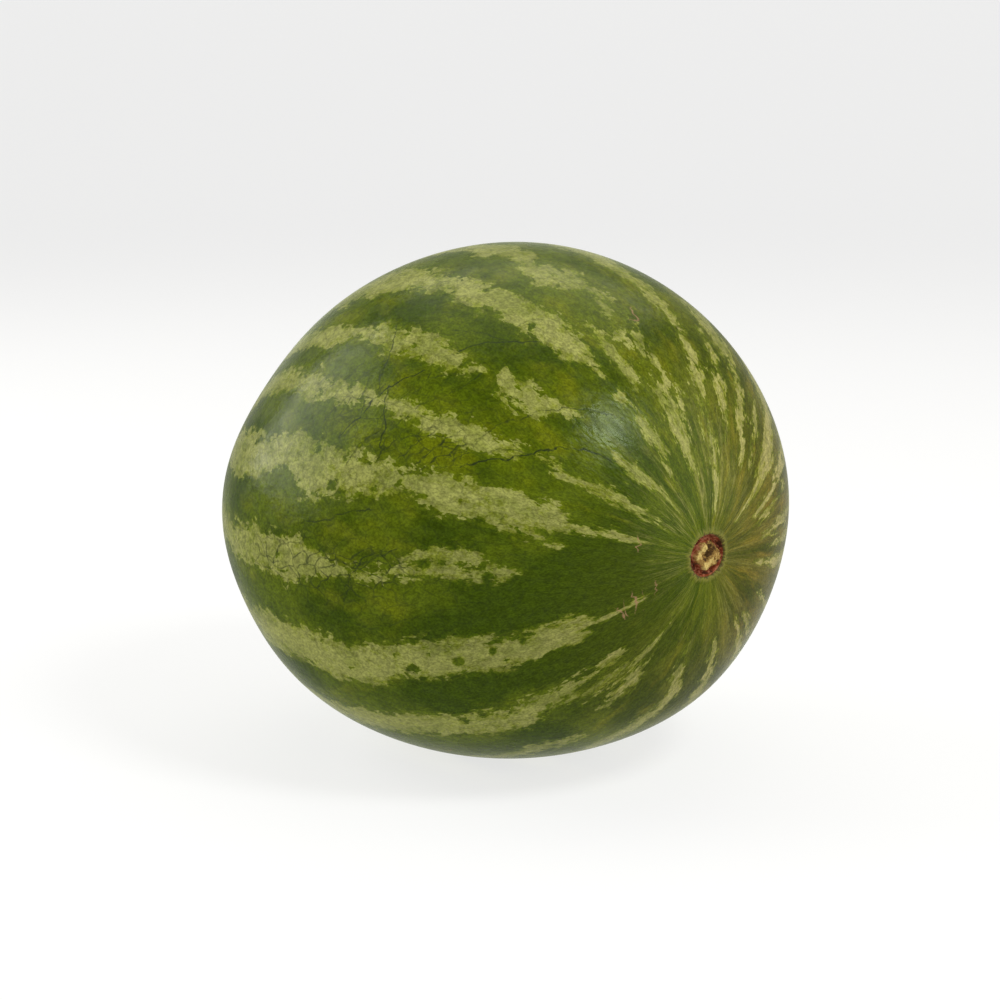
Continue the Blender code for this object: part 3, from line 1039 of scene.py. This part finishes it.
    # Hairline veins, scratches and the net of fine cracks. Widths are in millimetres.
    vein: Colour = (0.018, 0.027, 0.010)
    scratch: Colour = (0.290, 0.165, 0.090)
    wobble: Grain = Grain(7.0, 1.0, reach=4.5)
    fine_wobble: Grain = Grain(1.8, 1.0, reach=1.3)
    gaps: Grain = Grain(4.0)
    gaps_shown: Ease = Ease(0.34, 0.52, 0.28, 0.88)
    line_core: float = 0.12
    vein_width: float = 0.52
    branch_width: float = 0.47
    scratch_width: float = 0.62
    net_along: float = 0.8
    net_bend: Grain = Grain(6.0, 0.0, reach=2.4)
    net_cell: float = 7.5
    net_shown: Ease = Ease(0.012, 0.050, 0.75, 0.0)

    # Relief and shine.
    dents: Grain = Grain(2.6, 0.0)
    dent_depth: float = 0.10 * MM
    fine_depth: float = 0.05 * MM
    wax: Grain = Grain(7.0, 0.0)
    wax_roughness: Ease = Ease(0.3, 0.7, 0.21, 0.32)
    shine: float = 0.12
    shine_tint: Colour = (0.85, 1.0, 0.70)
    bloom: float = 0.33
    bloom_roughness: float = 0.25
    bloom_tint: Colour = (0.95, 1.0, 0.8)

    def material(self) -> bpy.types.Material:
        """Mixes the rind's colours and relief.

        Returns:
            The rind's material.
        """
        make = Recipe.new("waxy_rind")
        skin = make.vector("skin_place")
        fine = make.grain(skin, self.fine)
        colour = self.with_rays(make, skin, self.greens(make, skin))
        colour = self.with_markings(make, skin, colour)
        colour = self.with_halo(make, skin, colour)
        colour = self.with_blossom_scar(make, skin, colour)
        colour = make.shade(colour, make.ease(make.grain(skin, self.speckle), self.speckle_tone))
        colour = make.shade(colour, make.ease(fine, self.fine_tone))
        colour = self.with_lines(make, skin, colour)
        relief = make.relief(make.grain(skin, self.dents), self.dent_depth)
        relief = make.relief(fine, self.fine_depth, relief)
        return make.finish(colour, relief, Specular_IOR_Level=self.shine,
                           Roughness=make.ease(make.grain(skin, self.wax), self.wax_roughness),
                           Specular_Tint=self.shine_tint, Sheen_Weight=self.bloom,
                           Sheen_Roughness=self.bloom_roughness, Sheen_Tint=self.bloom_tint)

    def greens(self, make: Recipe, skin: object) -> bpy.types.NodeSocket:
        """The mottled green between the markings, deeper in the tone patches, partly painted shade, and
        brownish in the russet patches, partly a painted warm cast of light.

        Args:
            make: The recipe.
            skin: The place on the skin.

        Returns:
            The colour's socket.
        """
        # The tone patches, partly painted shade, push the green deeper or yellower.
        tone = make.number("tone_and_shade")
        clouds = make.add(make.grain(skin, self.clouds), make.times(tone, self.clouds_tone))
        colour = make.blend(make.ease(clouds, self.clouds_shown), self.deep_green, self.mid_green)
        patches = make.add(make.grain(skin, self.patches), make.times(tone, self.patches_tone))
        shown = make.times(make.ease(patches, self.patches_shown), self.patches_share)
        colour = make.blend(shown, colour, self.sunny_green)
        return make.blend(make.number("russet_and_warm_cast"), colour, self.russet_and_warm_cast, "MULTIPLY")

    def with_rays(self, make: Recipe, skin: object, colour: object) -> bpy.types.NodeSocket:
        """The green with the fine pale and dark rays that run out from the stem end.

        Args:
            make: The recipe.
            skin: The place on the skin.
            colour: The green without them.

        Returns:
            The colour's socket.
        """
        share = make.times(make.number("rayed"), self.ray_share)
        bent = make.wander(skin, self.ray_bend)
        rays = make.add(make.grain(bent, self.ray_lines), make.waves(skin, self.ray_bundles))
        rays = make.add(rays, make.waves(bent, self.ray_breaks))
        dark = make.times(make.ease(rays, self.dark_rays), share)
        colour = make.blend(dark, colour, self.deep_green)
        pale = make.times(make.ease(rays, self.pale_rays), share)
        return make.blend(pale, colour, self.ray)

    def marking_depth(self, make: Recipe, skin: object, streaks: object) -> bpy.types.NodeSocket:
        """How deep in the ragged pale markings each point lies.

        Args:
            make: The recipe.
            skin: The place on the skin.
            streaks: Grain drawn out towards the stem end.

        Returns:
            A socket in millimetres, positive inside a marking.
        """
        long = make.stretch(skin, self.edge_along)
        shards = make.wander(long, self.shard_bend)
        torn = make.number("torn")
        near_stem = make.ease(make.number("polar"), self.near_stem)
        depth = make.maths("SUBTRACT", make.number("stripe_depth"), make.times(torn, self.torn_loss))
        for wave in (
            make.waves(skin, self.broad_edge),
            make.times(make.waves(long, self.torn_edge), torn),
            make.waves(long, self.middle_edge),
            make.swing(make.cells(shards, self.broad_shard), self.broad_shard_reach),
            make.swing(make.cells(shards, self.fine_shard), self.fine_shard_reach),
            make.waves(long, self.fine_edge),
            make.times(make.swing(streaks, self.streaks.reach), near_stem),
        ):
            depth = make.add(depth, wave)
        return depth

    def with_markings(self, make: Recipe, skin: object, colour: object) -> bpy.types.NodeSocket:
        """The green with the pale markings on it.

        Args:
            make: The recipe.
            skin: The place on the skin.
            colour: The green without them.

        Returns:
            The colour's socket.
        """
        torn = make.number("torn")
        streaks = make.grain(skin, self.streaks)
        depth = self.marking_depth(make, skin, streaks)
        edge = make.times(make.ease(depth, self.edge_shown), self.edge_share)
        colour = make.blend(edge, colour, self.edge_green)
        tone = make.add(depth, make.times(make.swing(streaks, self.streak_tone), torn))
        # The markings take the tone patches too, which are partly painted shade.
        marking = make.shade(self.pales(make, skin, tone), make.ease(make.number("tone_and_shade"), self.tone_and_shade_on_markings))
        # Brownish under the russet patches, partly a painted warm cast of light.
        marking = make.blend(make.number("russet_and_warm_cast"), marking, self.tawny, "MULTIPLY")
        veil = make.ease(make.grain(skin, self.veil), self.veil_shown)
        worn = make.ease(make.grain(skin, self.worn), self.worn_shown)
        shown = make.times(make.ease(depth, self.marking_shown), veil)
        shown = make.times(shown, make.mix(torn, 1.0, worn))
        return make.blend(shown, colour, marking)

    def pales(self, make: Recipe, skin: object, depth: object) -> bpy.types.NodeSocket:
        """The mottled pale colour of the markings.

        Args:
            make: The recipe.
            skin: The place on the skin.
            depth: How deep in the markings it lies, in millimetres.

        Returns:
            The colour's socket.
        """
        mottle = make.add(make.waves(skin, self.mottle), make.waves(skin, self.broad_mottle))
        mottle = make.add(mottle, make.times(depth, self.depth_tone))
        return make.blend(make.ease(mottle, self.cream_shown), self.lime, self.cream)

    def with_halo(self, make: Recipe, skin: object, colour: object) -> bpy.types.NodeSocket:
        """The colour with the yellowish ring round the stem scar and the dark lip inside it, which is
        partly painted shade.

        Args:
            make: The recipe.
            skin: The place on the skin.
            colour: The colour without them.

        Returns:
            The colour's socket.
        """
        radius = make.add(make.number("stem_radius"), make.waves(skin, self.halo_edge))
        colour = make.blend(make.ease(radius, self.halo_shown), colour, self.halo)
        return make.blend(make.ease(radius, self.lip_shade_shown), colour, self.lip)

    def with_blossom_scar(self, make: Recipe, skin: object, colour: object) -> bpy.types.NodeSocket:
        """The colour with the small corky button at the blossom end and the dark green round it.

        Args:
            make: The recipe.
            skin: The place on the skin.
            colour: The colour without them.

        Returns:
            The colour's socket.
        """
        polar = make.add(make.number("polar"), make.waves(skin, self.blossom_edge))
        colour = make.blend(make.ease(polar, self.blossom_shown), colour, self.deep_green)
        return make.blend(make.ease(polar, self.cork_shown), colour, self.cork)

    def with_lines(self, make: Recipe, skin: object, colour: object) -> bpy.types.NodeSocket:
        """The colour with its veins, fine cracks and scratches.

        Args:
            make: The recipe.
            skin: The place on the skin.
            colour: The colour without them.

        Returns:
            The colour's socket.
        """
        wobble = make.add(make.waves(skin, self.wobble), make.waves(skin, self.fine_wobble))
        broken = make.ease(make.grain(skin, self.gaps), self.gaps_shown)
        bent = make.wander(make.stretch(skin, self.net_along), self.net_bend)
        cracks = make.ease(make.net(bent, self.net_cell), self.net_shown)
        cracks = make.times(make.times(make.number("crazed"), broken), cracks)
        colour = make.blend(cracks, colour, self.vein)
        for kind, ink, width in (
            (Hairline.VEIN, self.vein, self.vein_width),
            (Hairline.BRANCH, self.vein, self.branch_width),
            (Hairline.SCRATCH, self.scratch, self.scratch_width),
        ):
            away = make.maths("ABSOLUTE", make.add(make.number(kind.value + "_aside"), wobble))
            line = make.ease(away, Ease(self.line_core, width, 1.0, 0.0))
            drawn = make.times(line, make.number(kind.value + "_ink"))
            colour = make.blend(make.times(drawn, broken), colour, ink)
        return colour


@dataclass(frozen=True)
class ScarFinish:
    """The stem scar's torn tissue: brick-red wall, cream folds, and painted shade in its creases and in
    patches on the wall.
    """

    # The wall round the stub: brick red with pink scraps and patches of painted shadow.
    brick: Colour = (0.190, 0.040, 0.014)
    pink: Colour = (0.400, 0.150, 0.080)
    scraps: Grain = Grain(1.9, 3.0, 0.65)
    pink_shown: Ease = Ease(0.44, 0.60)
    shadow: Colour = (0.060, 0.020, 0.009)
    shadow_patches: Grain = Grain(3.6, 3.0, 0.6)
    shadow_shown: Ease = Ease(0.50, 0.38)

    # The stub: cream on its crests, tan on its slopes and, as painted shade, dark in its creases.
    crease: Colour = (0.060, 0.030, 0.008)
    tan: Colour = (0.250, 0.145, 0.035)
    cream: Colour = (0.490, 0.365, 0.120)
    fibres: Grain = Grain(1.2, 3.0, 0.7, reach=2.1)
    tan_shown: Ease = Ease(0.16, 0.60)
    cream_shown: Ease = Ease(0.58, 1.05)

    # The ragged border between them, in millimetres beyond the stub's edge, and the relief.
    border: Grain = Grain(2.6, 3.0, reach=2.2)
    wall_shown: Ease = Ease(-1.1, -0.3)
    pits: Grain = Grain(0.6, 3.0, 0.6)
    pit_depth: float = 0.14 * MM
    roughness: float = 0.62
    shine: float = 0.1

    def material(self) -> bpy.types.Material:
        """Mixes the scar's colours by the height of its folds.

        Returns:
            The scar's material.
        """
        make = Recipe.new("torn_scar")
        place = make.vector("scar_place")
        scraps = make.ease(make.grain(place, self.scraps), self.pink_shown)
        wall = make.blend(scraps, self.brick, self.pink)
        # Patches of painted shadow on the wall.
        shadow_patches = make.ease(make.grain(place, self.shadow_patches), self.shadow_shown)
        wall = make.blend(shadow_patches, wall, self.shadow)
        height = make.add(make.number("scar_fold"), make.waves(place, self.fibres))
        # Low in the folds the stub is darkened as painted shade.
        stub = make.blend(make.ease(height, self.tan_shown), self.crease, self.tan)
        stub = make.blend(make.ease(height, self.cream_shown), stub, self.cream)
        beyond = make.add(make.number("stub_edge"), make.waves(place, self.border))
        colour = make.blend(make.ease(beyond, self.wall_shown), stub, wall)
        relief = make.relief(make.grain(place, self.pits), self.pit_depth)
        return make.finish(colour, relief, Roughness=self.roughness, Specular_IOR_Level=self.shine)


@dataclass(frozen=True)
class Ring:
    """One ring of points of the skin mesh."""

    polar: float
    sides: int


@dataclass(frozen=True)
class Lobe:
    """One soft lump of the torn stub, or a hollow where its lift is below zero. In mm."""

    across: float
    up: float
    reach: float
    lift: float

    def weight(self, across: np.ndarray, up: np.ndarray) -> np.ndarray:
        """The lift it gives at places on the stub.

        Args:
            across: Places to the side of the stem axis, in millimetres.
            up: Places above it, in millimetres.

        Returns:
            The lift at each place.
        """
        away = np.hypot(across - self.across, up - self.up) / self.reach
        return self.lift * np.exp(-(away ** 2))


@dataclass(frozen=True)
class Wave:
    """One wave of a round edge: how often it comes, its height in mm and its shift in radians."""

    count: int
    height: float
    shift: float = 0.0

    def at(self, turn: np.ndarray) -> np.ndarray:
        """The wave's height at turns in radians."""
        return self.height * np.cos(self.count * turn + self.shift)


@dataclass(frozen=True)
class TornStub:
    """The torn stub of the stem inside the scar. Lengths are in millimetres, turns in degrees.

    The seed fixes how the folds bend, the same way in every run.
    """

    edge: float = 7.2
    edge_waves: tuple[Wave, ...] = (Wave(1, 0.9), Wave(2, 0.3, 0.9), Wave(5, 0.35, 2.1))
    edge_slope: float = 1.0
    collar: float = 2.2
    collar_wave: Wave = Wave(3, 0.5, 0.4)
    collar_share: float = 1.30
    gap_turn: float = 50.0
    gap_reach: float = 26.0
    gap_depth: float = 1.6
    fold_height: float = 1.5
    fold_middle: float = 0.4
    broad_folds: float = 0.30
    fine_folds: float = 0.9
    fine_share: float = 0.3
    fold_bend: float = 1.2
    fold_contrast: float = 0.45
    fold_base: float = 0.10
    rough_height: float = 0.40
    rough_layers: int = 4
    rough_within: float = 8.6
    reach: float = 9.9
    seed: int = 3
    lobes: tuple[Lobe, ...] = (
        Lobe(-2.6, 4.0, 2.3, 0.80), Lobe(-4.6, 0.6, 1.9, 0.75), Lobe(-1.4, -4.8, 2.5, 1.00),
        Lobe(2.6, -3.6, 2.0, 0.65), Lobe(5.0, -0.4, 1.7, 0.55), Lobe(2.8, 5.4, 1.4, 0.30),
        Lobe(0.6, 1.2, 1.4, -0.80), Lobe(-0.6, -1.8, 1.0, -0.60), Lobe(3.4, 3.2, 1.7, -0.25),
        Lobe(-1.0, 2.4, 0.8, -0.40),
    )

    def grain_at(self, place: Vector) -> tuple[float, float]:
        """The fibres' own folds and roughness at a place.

        Args:
            place: The place, in millimetres from the stem axis.

        Returns:
            The height of the folds, up to 1, and that of the roughness in millimetres.
        """
        bend = noise.noise_vector(place * self.broad_folds) * self.fold_bend
        broad = 1.0 - abs(noise.noise(place * self.broad_folds + bend)) * 2.0
        fine = 1.0 - abs(noise.noise(place * self.fine_folds + bend)) * 2.0
        rough = noise.fractal(place * self.fine_folds, 1.0, 2.0, self.rough_layers)
        return (1.0 - self.fine_share) * broad + self.fine_share * fine, rough * self.rough_height

    def folds(self, radius: np.ndarray, turn: np.ndarray) -> tuple[np.ndarray, ...]:
        """The stub's height over the recess floor, its folds and its edge.

        Args:
            radius: Distances from the stem axis, in metres.
            turn: Angles about it, in radians.

        Returns:
            Heights in metres, fold heights from 0 in a crease to 1 on a crest, and distances
            beyond the stub's edge in millimetres.
        """
        r = radius / MM
        across, up = r * np.cos(turn), r * np.sin(turn)
        beyond = r - self.edge - sum(wave.at(turn) for wave in self.edge_waves)
        gap = np.exp(-((turned(np.degrees(turn), self.gap_turn) / self.gap_reach) ** 2))
        collar = self.collar + self.collar_wave.at(turn) - self.gap_depth * gap
        fold = np.zeros_like(r)
        rough = np.zeros_like(r)
        noise.seed_set(self.seed)
        for i in np.flatnonzero(r < self.reach):
            fold[i], rough[i] = self.grain_at(Vector((across[i], up[i], 0.0)))
        fold = np.clip(self.fold_contrast * fold + self.fold_base, 0.0, 1.0)
        fold = np.clip(fold + sum(lobe.weight(across, up) for lobe in self.lobes), 0.0, 1.0)
        lift = collar * self.collar_share + self.fold_height * (fold - self.fold_middle)
        height = lift * within(beyond, -self.edge_slope, 0.0)
        rough = rough * within(r, self.rough_within, self.reach)
        return (height + rough) * MM, fold, beyond


@dataclass
class Rind:
    """The whole skin as one closed mesh, fine enough for its markings and its scars."""

    form: FruitForm = FruitForm()
    stripes: StripeLayout = STRIPES
    lines: LineLayout = LINES
    stub: TornStub = TornStub()
    finish: RindFinish = RindFinish()
    scar_finish: ScarFinish = ScarFinish()
    sides: int = 432
    quarter_radius: float = 3.0 * MM
    half_radius: float = 9.0 * MM
    stem_step: float = 0.36 * MM
    stem_close: float = 12.0 * MM
    blossom_step: float = 0.60 * MM
    blossom_close: float = 7.0 * MM
    longest_step: float = 2.3 * MM
    step_growth: float = 1.12
    scar_edge: float = 9.7
    skin_radius: float = 120.0
    skin_degree: float = 2.16
    faint_cracks: float = 0.30

    def half_rings(self, step: float, close_within: float) -> list[float]:
        """Ring angles from one end to the widest ring.

        Args:
            step: The spacing at the end, in metres.
            close_within: The radius up to which that spacing holds.

        Returns:
            The angles from that end, in radians, the widest ring's last.
        """
        radius = self.form.end_radius
        angles = [step / radius]
        while angles[-1] < math.pi / 2:
            if angles[-1] * radius > close_within:
                step = min(step * self.step_growth, self.longest_step)
            angles.append(angles[-1] + step / radius)
        squeeze = math.pi / 2 / angles[-1]
        return [angle * squeeze for angle in angles]

    def side_count(self, angle: float) -> int:
        """How many points a ring has.

        Args:
            angle: The ring's angle from the nearer end, in radians.

        Returns:
            The number of points, which is smaller near the ends.
        """
        radius = angle * self.form.end_radius
        if radius < self.quarter_radius:
            return self.sides // 4
        return self.sides // 2 if radius < self.half_radius else self.sides

    def rings(self) -> list[Ring]:
        """All rings from the stem end to the blossom end.

        Returns:
            The rings in order.
        """
        stem = self.half_rings(self.stem_step, self.stem_close)
        blossom = self.half_rings(self.blossom_step, self.blossom_close)
        rings = [Ring(angle, self.side_count(angle)) for angle in stem]
        rings += [Ring(math.pi - angle, self.side_count(angle)) for angle in blossom[-2::-1]]
        return rings

    def faces(self, rings: list[Ring]) -> list[tuple[int, ...]]:
        """Faces between the rings and round both tips, with outward normals.

        Args:
            rings: The rings in order.

        Returns:
            Each face's corners. The stem tip is corner 0, and the blossom tip the last.
        """
        starts = [1]
        for ring in rings:
            starts.append(starts[-1] + ring.sides)
        last = starts[-1]
        faces = []
        first = rings[0].sides
        for i in range(first):
            faces.append((0, 1 + i, 1 + (i + 1) % first))
        for ring, after, here, there in zip(rings, rings[1:], starts, starts[1:]):
            if ring.sides == after.sides:
                for i in range(ring.sides):
                    j = (i + 1) % ring.sides
                    faces.append((here + i, there + i, there + j, here + j))
            elif ring.sides < after.sides:
                self.fan(faces, here, ring.sides, there, False)
            else:
                self.fan(faces, there, after.sides, here, True)
        end = starts[-2]
        for i in range(rings[-1].sides):
            faces.append((last, end + (i + 1) % rings[-1].sides, end + i))
        return faces

    def fan(self, faces: list[tuple[int, ...]], few: int, count: int, many: int, flip: bool) -> None:
        """Faces between a ring and one with twice as many points.

        Args:
            faces: The list that they are added to.
            few: The first corner of the ring with fewer points.
            count: How many points that ring has.
            many: The first corner of the other ring.
            flip: Whether the ring with fewer points comes second.
        """
        for i in range(count):
            here, after = few + i, few + (i + 1) % count
            left, middle = many + 2 * i, many + 2 * i + 1
            right = many + (2 * i + 2) % (2 * count)
            for face in ((here, left, middle), (here, middle, after), (after, middle, right)):
                faces.append(face[::-1] if flip else face)

    def fitted(self, points: np.ndarray, radius: np.ndarray) -> np.ndarray:
        """The points brought to the solid's box, which the scar's folds may stand out of.

        Args:
            points: The points of the skin.
            radius: Each point's distance from the stem tip along the skin, in metres.

        Returns:
            The points in place.
        """
        low, high = (np.array(corner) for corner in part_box(NODE))
        body = points[radius > self.scar_edge * MM]
        found_low, found_high = body.min(0), body.max(0)
        return low + (points - found_low) / (found_high - found_low) * (high - low)

    def dress(self, mesh: bpy.types.Mesh, radius: np.ndarray) -> None:
        """Gives the skin and the scar their finishes.

        Args:
            mesh: The rind's mesh.
            radius: Each point's distance from the stem tip along the skin, in metres.
        """
        mesh.shade_smooth()
        mesh.materials.append(self.finish.material())
        mesh.materials.append(self.scar_finish.material())
        for face in mesh.polygons:
            furthest = max(radius[i] for i in face.vertices)
            face.material_index = int(furthest < self.scar_edge * MM)

    def build(self) -> bpy.types.Object:
        """Builds and dresses the rind.

        Returns:
            The rind's object, in place.
        """
        rings = self.rings()
        polar = np.concatenate([[0.0], *[np.full(r.sides, r.polar) for r in rings], [math.pi]])
        turn = np.concatenate(
            [[0.0], *[np.arange(r.sides) * (2 * math.pi / r.sides) for r in rings], [0.0]]
        )
        radius = polar * self.form.end_radius
        points = self.form.skin(polar, turn)
        height, fold, beyond = self.stub.folds(radius, turn)
        points[:, 0] += height
        points = self.fitted(self.form.rest(points, float(points[:, 2].min())), radius)
        mesh = bpy.data.meshes.new("rind")
        mesh.from_pydata(points.tolist(), [], self.faces(rings))
        mesh.validate()
        self.mark(mesh, polar, turn, {"scar_fold": fold, "stub_edge": beyond})
        self.dress(mesh, radius)
        rind = bpy.data.objects.new("rind", mesh)
        bpy.context.scene.collection.objects.link(rind)
        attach(rind, BODY)
        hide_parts(NODE)
        log.info("rind: %d points, %d faces", len(mesh.vertices), len(mesh.polygons))
        return rind

    def mark(self, mesh: bpy.types.Mesh, polar: np.ndarray, turn: np.ndarray,
             scar: dict[str, np.ndarray]) -> None:
        """Writes the attributes that the finishes read.

        Args:
            mesh: The rind's mesh.
            polar: Each point's angle from the stem end, in radians.
            turn: Each point's angle about the stem axis, in radians.
            scar: The scar's own values at each point, by attribute name.
        """
        down = np.degrees(polar) * self.skin_degree
        place = np.stack(
            [self.skin_radius * np.cos(turn), self.skin_radius * np.sin(turn), down], -1
        )
        radius = polar * self.form.end_radius / MM
        out = np.array([point.co.x for point in mesh.vertices]) / MM
        face = np.stack([radius * np.cos(turn), radius * np.sin(turn), out], -1)
        marks = [
            ("skin_place", "FLOAT_VECTOR", place),
            ("scar_place", "FLOAT_VECTOR", face),
            ("stripe_depth", "FLOAT", self.stripes.field(polar, turn)),
            ("polar", "FLOAT", np.degrees(polar)),
            ("stem_radius", "FLOAT", radius),
            # The tone patches are partly painted shade.
            ("tone_and_shade", "FLOAT", patched(TONE_AND_SHADE, polar, turn)),
            ("rayed", "FLOAT", np.clip(patched(RAYED, polar, turn), 0.0, 1.0)),
            ("torn", "FLOAT", np.clip(patched(TORN, polar, turn), 0.0, 1.0)),
            # The russet patches are partly a painted warm cast of light.
            ("russet_and_warm_cast", "FLOAT", np.clip(patched(RUSSET_AND_WARM_CAST, polar, turn), 0.0, 1.0)),
            ("crazed", "FLOAT", np.clip(patched(CRAZED, polar, turn) + self.faint_cracks, 0.0, 1.0)),
        ]
        marks += [(name, "FLOAT", values) for name, values in scar.items()]
        for line in Hairline:
            aside, ink = self.lines.field(line, polar, turn)
            marks += [(line.value + "_aside", "FLOAT", aside), (line.value + "_ink", "FLOAT", ink)]
        for name, kind, values in marks:
            layer = mesh.attributes.new(name, kind, "POINT")
            field = "vector" if kind == "FLOAT_VECTOR" else "value"
            layer.data.foreach_set(field, np.ascontiguousarray(values, dtype=np.float32).ravel())


@dataclass(frozen=True)
class SoftLight:
    """A square light that faces the fruit.

    The azimuth is in degrees to the right of the camera, the elevation in degrees above
    the horizon, the distance and side in metres, and the power in watts.
    """

    name: str
    azimuth: float
    elevation: float
    distance: float
    side: float
    power: float
    colour: Colour = WHITE


@dataclass
class Studio:
    """A pale floor, soft lights and the camera.

    Azimuth, elevation and distance place the camera round the fruit's middle, and aside and
    above move it from there. Lengths are in metres, angles in degrees, the lens in mm.
    """

    lights: tuple[SoftLight, ...] = (
        SoftLight("key", 47.0, 47.0, 1.6, 0.40, 12.5, (0.97, 0.99, 1.0)),
        SoftLight("left_wall", -106.0, 27.0, 1.6, 1.3, 17.0, (1.0, 1.0, 0.98)),
        SoftLight("right_wall", 74.0, 18.0, 1.6, 1.5, 11.2, (1.0, 0.96, 0.90)),
        SoftLight("ceiling", 175.0, 66.0, 1.6, 1.6, 10.6, (1.0, 0.98, 0.90)),
    )

    azimuth: float = 50.0
    elevation: float = 11.62
    distance: float = 1.0531
    aside: float = -0.0004
    above: float = -0.0015
    lens: float = 85.0
    floor_radius: float = 3.0
    sweep_radius: float = 1.5
    sweep_steps: int = 24
    floor_middle: float = 0.02
    floor_sides: int = 96
    floor_colour: Colour = (0.26, 0.26, 0.255)
    floor_glow: float = 0.72
    sky: float = 0.05
    ground: float = 0.18
    horizon_blend: float = 0.12

    def camera_axes(self) -> tuple[Vector, Vector, Vector]:
        """The camera's own directions.

        Returns:
            Unit vectors to its right, upwards and backwards.
        """
        turn = math.radians(self.azimuth)
        right = Vector((math.cos(turn), math.sin(turn), 0.0))
        back = self.towards(0.0, self.elevation)
        return right, back.cross(right), back

    def towards(self, azimuth: float, elevation: float) -> Vector:
        """The direction from the fruit to a place round it.

        Args:
            azimuth: Degrees to the right of the camera.
            elevation: Degrees above the horizon.

        Returns:
            The unit vector.
        """
        turn, rise = math.radians(self.azimuth + azimuth), math.radians(elevation)
        level = math.cos(rise)
        return Vector((math.sin(turn) * level, -math.cos(turn) * level, math.sin(rise)))

    def middle(self) -> Vector:
        """The middle of the fruit."""
        low, high = (Vector(corner) for corner in CAD_BOX)
        return (low + high) / 2

    def add_camera(self) -> None:
        """Places the camera and makes it the scene's."""
        right, up, back = self.camera_axes()
        data = bpy.data.cameras.new("camera")
        data.lens = self.lens
        camera = bpy.data.objects.new("camera", data)
        place = self.middle() + back * self.distance + right * self.aside + up * self.above
        facing = Matrix((right, up, back)).transposed().to_4x4()
        camera.matrix_world = Matrix.Translation(place) @ facing
        bpy.context.scene.collection.objects.link(camera)
        bpy.context.scene.camera = camera

    def add_light(self, plan: SoftLight) -> None:
        """Hangs one light.

        Args:
            plan: The light to hang.
        """
        data = bpy.data.lights.new(plan.name, "AREA")
        data.size = plan.side
        data.energy = plan.power
        data.color = plan.colour
        light = bpy.data.objects.new(plan.name, data)
        towards = self.towards(plan.azimuth, plan.elevation)
        light.location = self.middle() + towards * plan.distance
        light.rotation_euler = towards.to_track_quat("Z", "Y").to_euler()
        bpy.context.scene.collection.objects.link(light)

    def floor_mesh(self) -> bpy.types.Mesh:
        """A round floor at z = 0 that sweeps up into a backdrop.

        Returns:
            The mesh.
        """
        bends = [math.radians(90.0 * step / self.sweep_steps) for step in range(self.sweep_steps + 1)]
        profile = [(self.floor_middle, 0.0)]
        profile += [(self.floor_radius + self.sweep_radius * math.sin(bend),
                     self.sweep_radius * (1.0 - math.cos(bend))) for bend in bends]
        profile.append((self.floor_radius + self.sweep_radius, 2.0 * self.sweep_radius))
        sides = self.floor_sides
        turns = [math.tau * side / sides for side in range(sides)]
        points = [(reach * math.cos(turn), reach * math.sin(turn), height)
                  for reach, height in profile for turn in turns]
        faces = [tuple(range(sides))]
        for row in range(len(profile) - 1):
            for side in range(sides):
                after = (side + 1) % sides
                faces.append((row * sides + side, (row + 1) * sides + side,
                              (row + 1) * sides + after, row * sides + after))
        mesh = bpy.data.meshes.new("floor")
        mesh.from_pydata(points, [], faces)
        mesh.shade_smooth()
        return mesh

    def add_floor(self) -> None:
        """Lays the pale floor, which glows a little and doesn't show in the fruit's shine."""
        make = Recipe.new("pale_floor")
        pale = make.finish(self.floor_colour, Roughness=0.9, Specular_IOR_Level=0.0,
                           Emission_Color=WHITE, Emission_Strength=self.floor_glow)
        pale.cycles.emission_sampling = "NONE"
        floor = bpy.data.objects.new("floor", self.floor_mesh())
        floor.data.materials.append(pale)
        floor.visible_glossy = False
        bpy.context.scene.collection.objects.link(floor)

    def add_world(self) -> None:
        """Adds a dim sky and a brighter ground, which only the fruit's shine meets."""
        world = bpy.data.worlds.new("studio")
        world.use_nodes = True
        nodes, links = world.node_tree.nodes, world.node_tree.links
        place = nodes.new("ShaderNodeTexCoord")
        parts = nodes.new("ShaderNodeSeparateXYZ")
        links.new(place.outputs["Generated"], parts.inputs["Vector"])
        spread = nodes.new("ShaderNodeMapRange")
        spread.interpolation_type = "SMOOTHSTEP"
        blend = self.horizon_blend
        for socket, value in zip(spread.inputs[1:5], (-blend, blend, self.ground, self.sky)):
            socket.default_value = value
        links.new(parts.outputs["Z"], spread.inputs["Value"])
        links.new(spread.outputs["Result"], nodes["Background"].inputs["Strength"])
        nodes["Background"].inputs["Color"].default_value = (*WHITE, 1.0)
        world.cycles.sampling_method = "NONE"
        bpy.context.scene.world = world

    def build(self) -> None:
        """Sets up the floor, the lights, the world and the camera."""
        self.add_floor()
        self.add_world()
        for plan in self.lights:
            self.add_light(plan)
        self.add_camera()
        view = bpy.context.scene.view_settings
        view.view_transform = "Standard"
        view.look = "None"
        log.info("studio: floor, lights and camera")


def main() -> None:
    """Builds the fruit and the studio."""
    logging.basicConfig(level=logging.INFO, format="%(name)s: %(message)s")
    Rind().build()
    Studio().build()


if __name__ == "__main__":
    main()
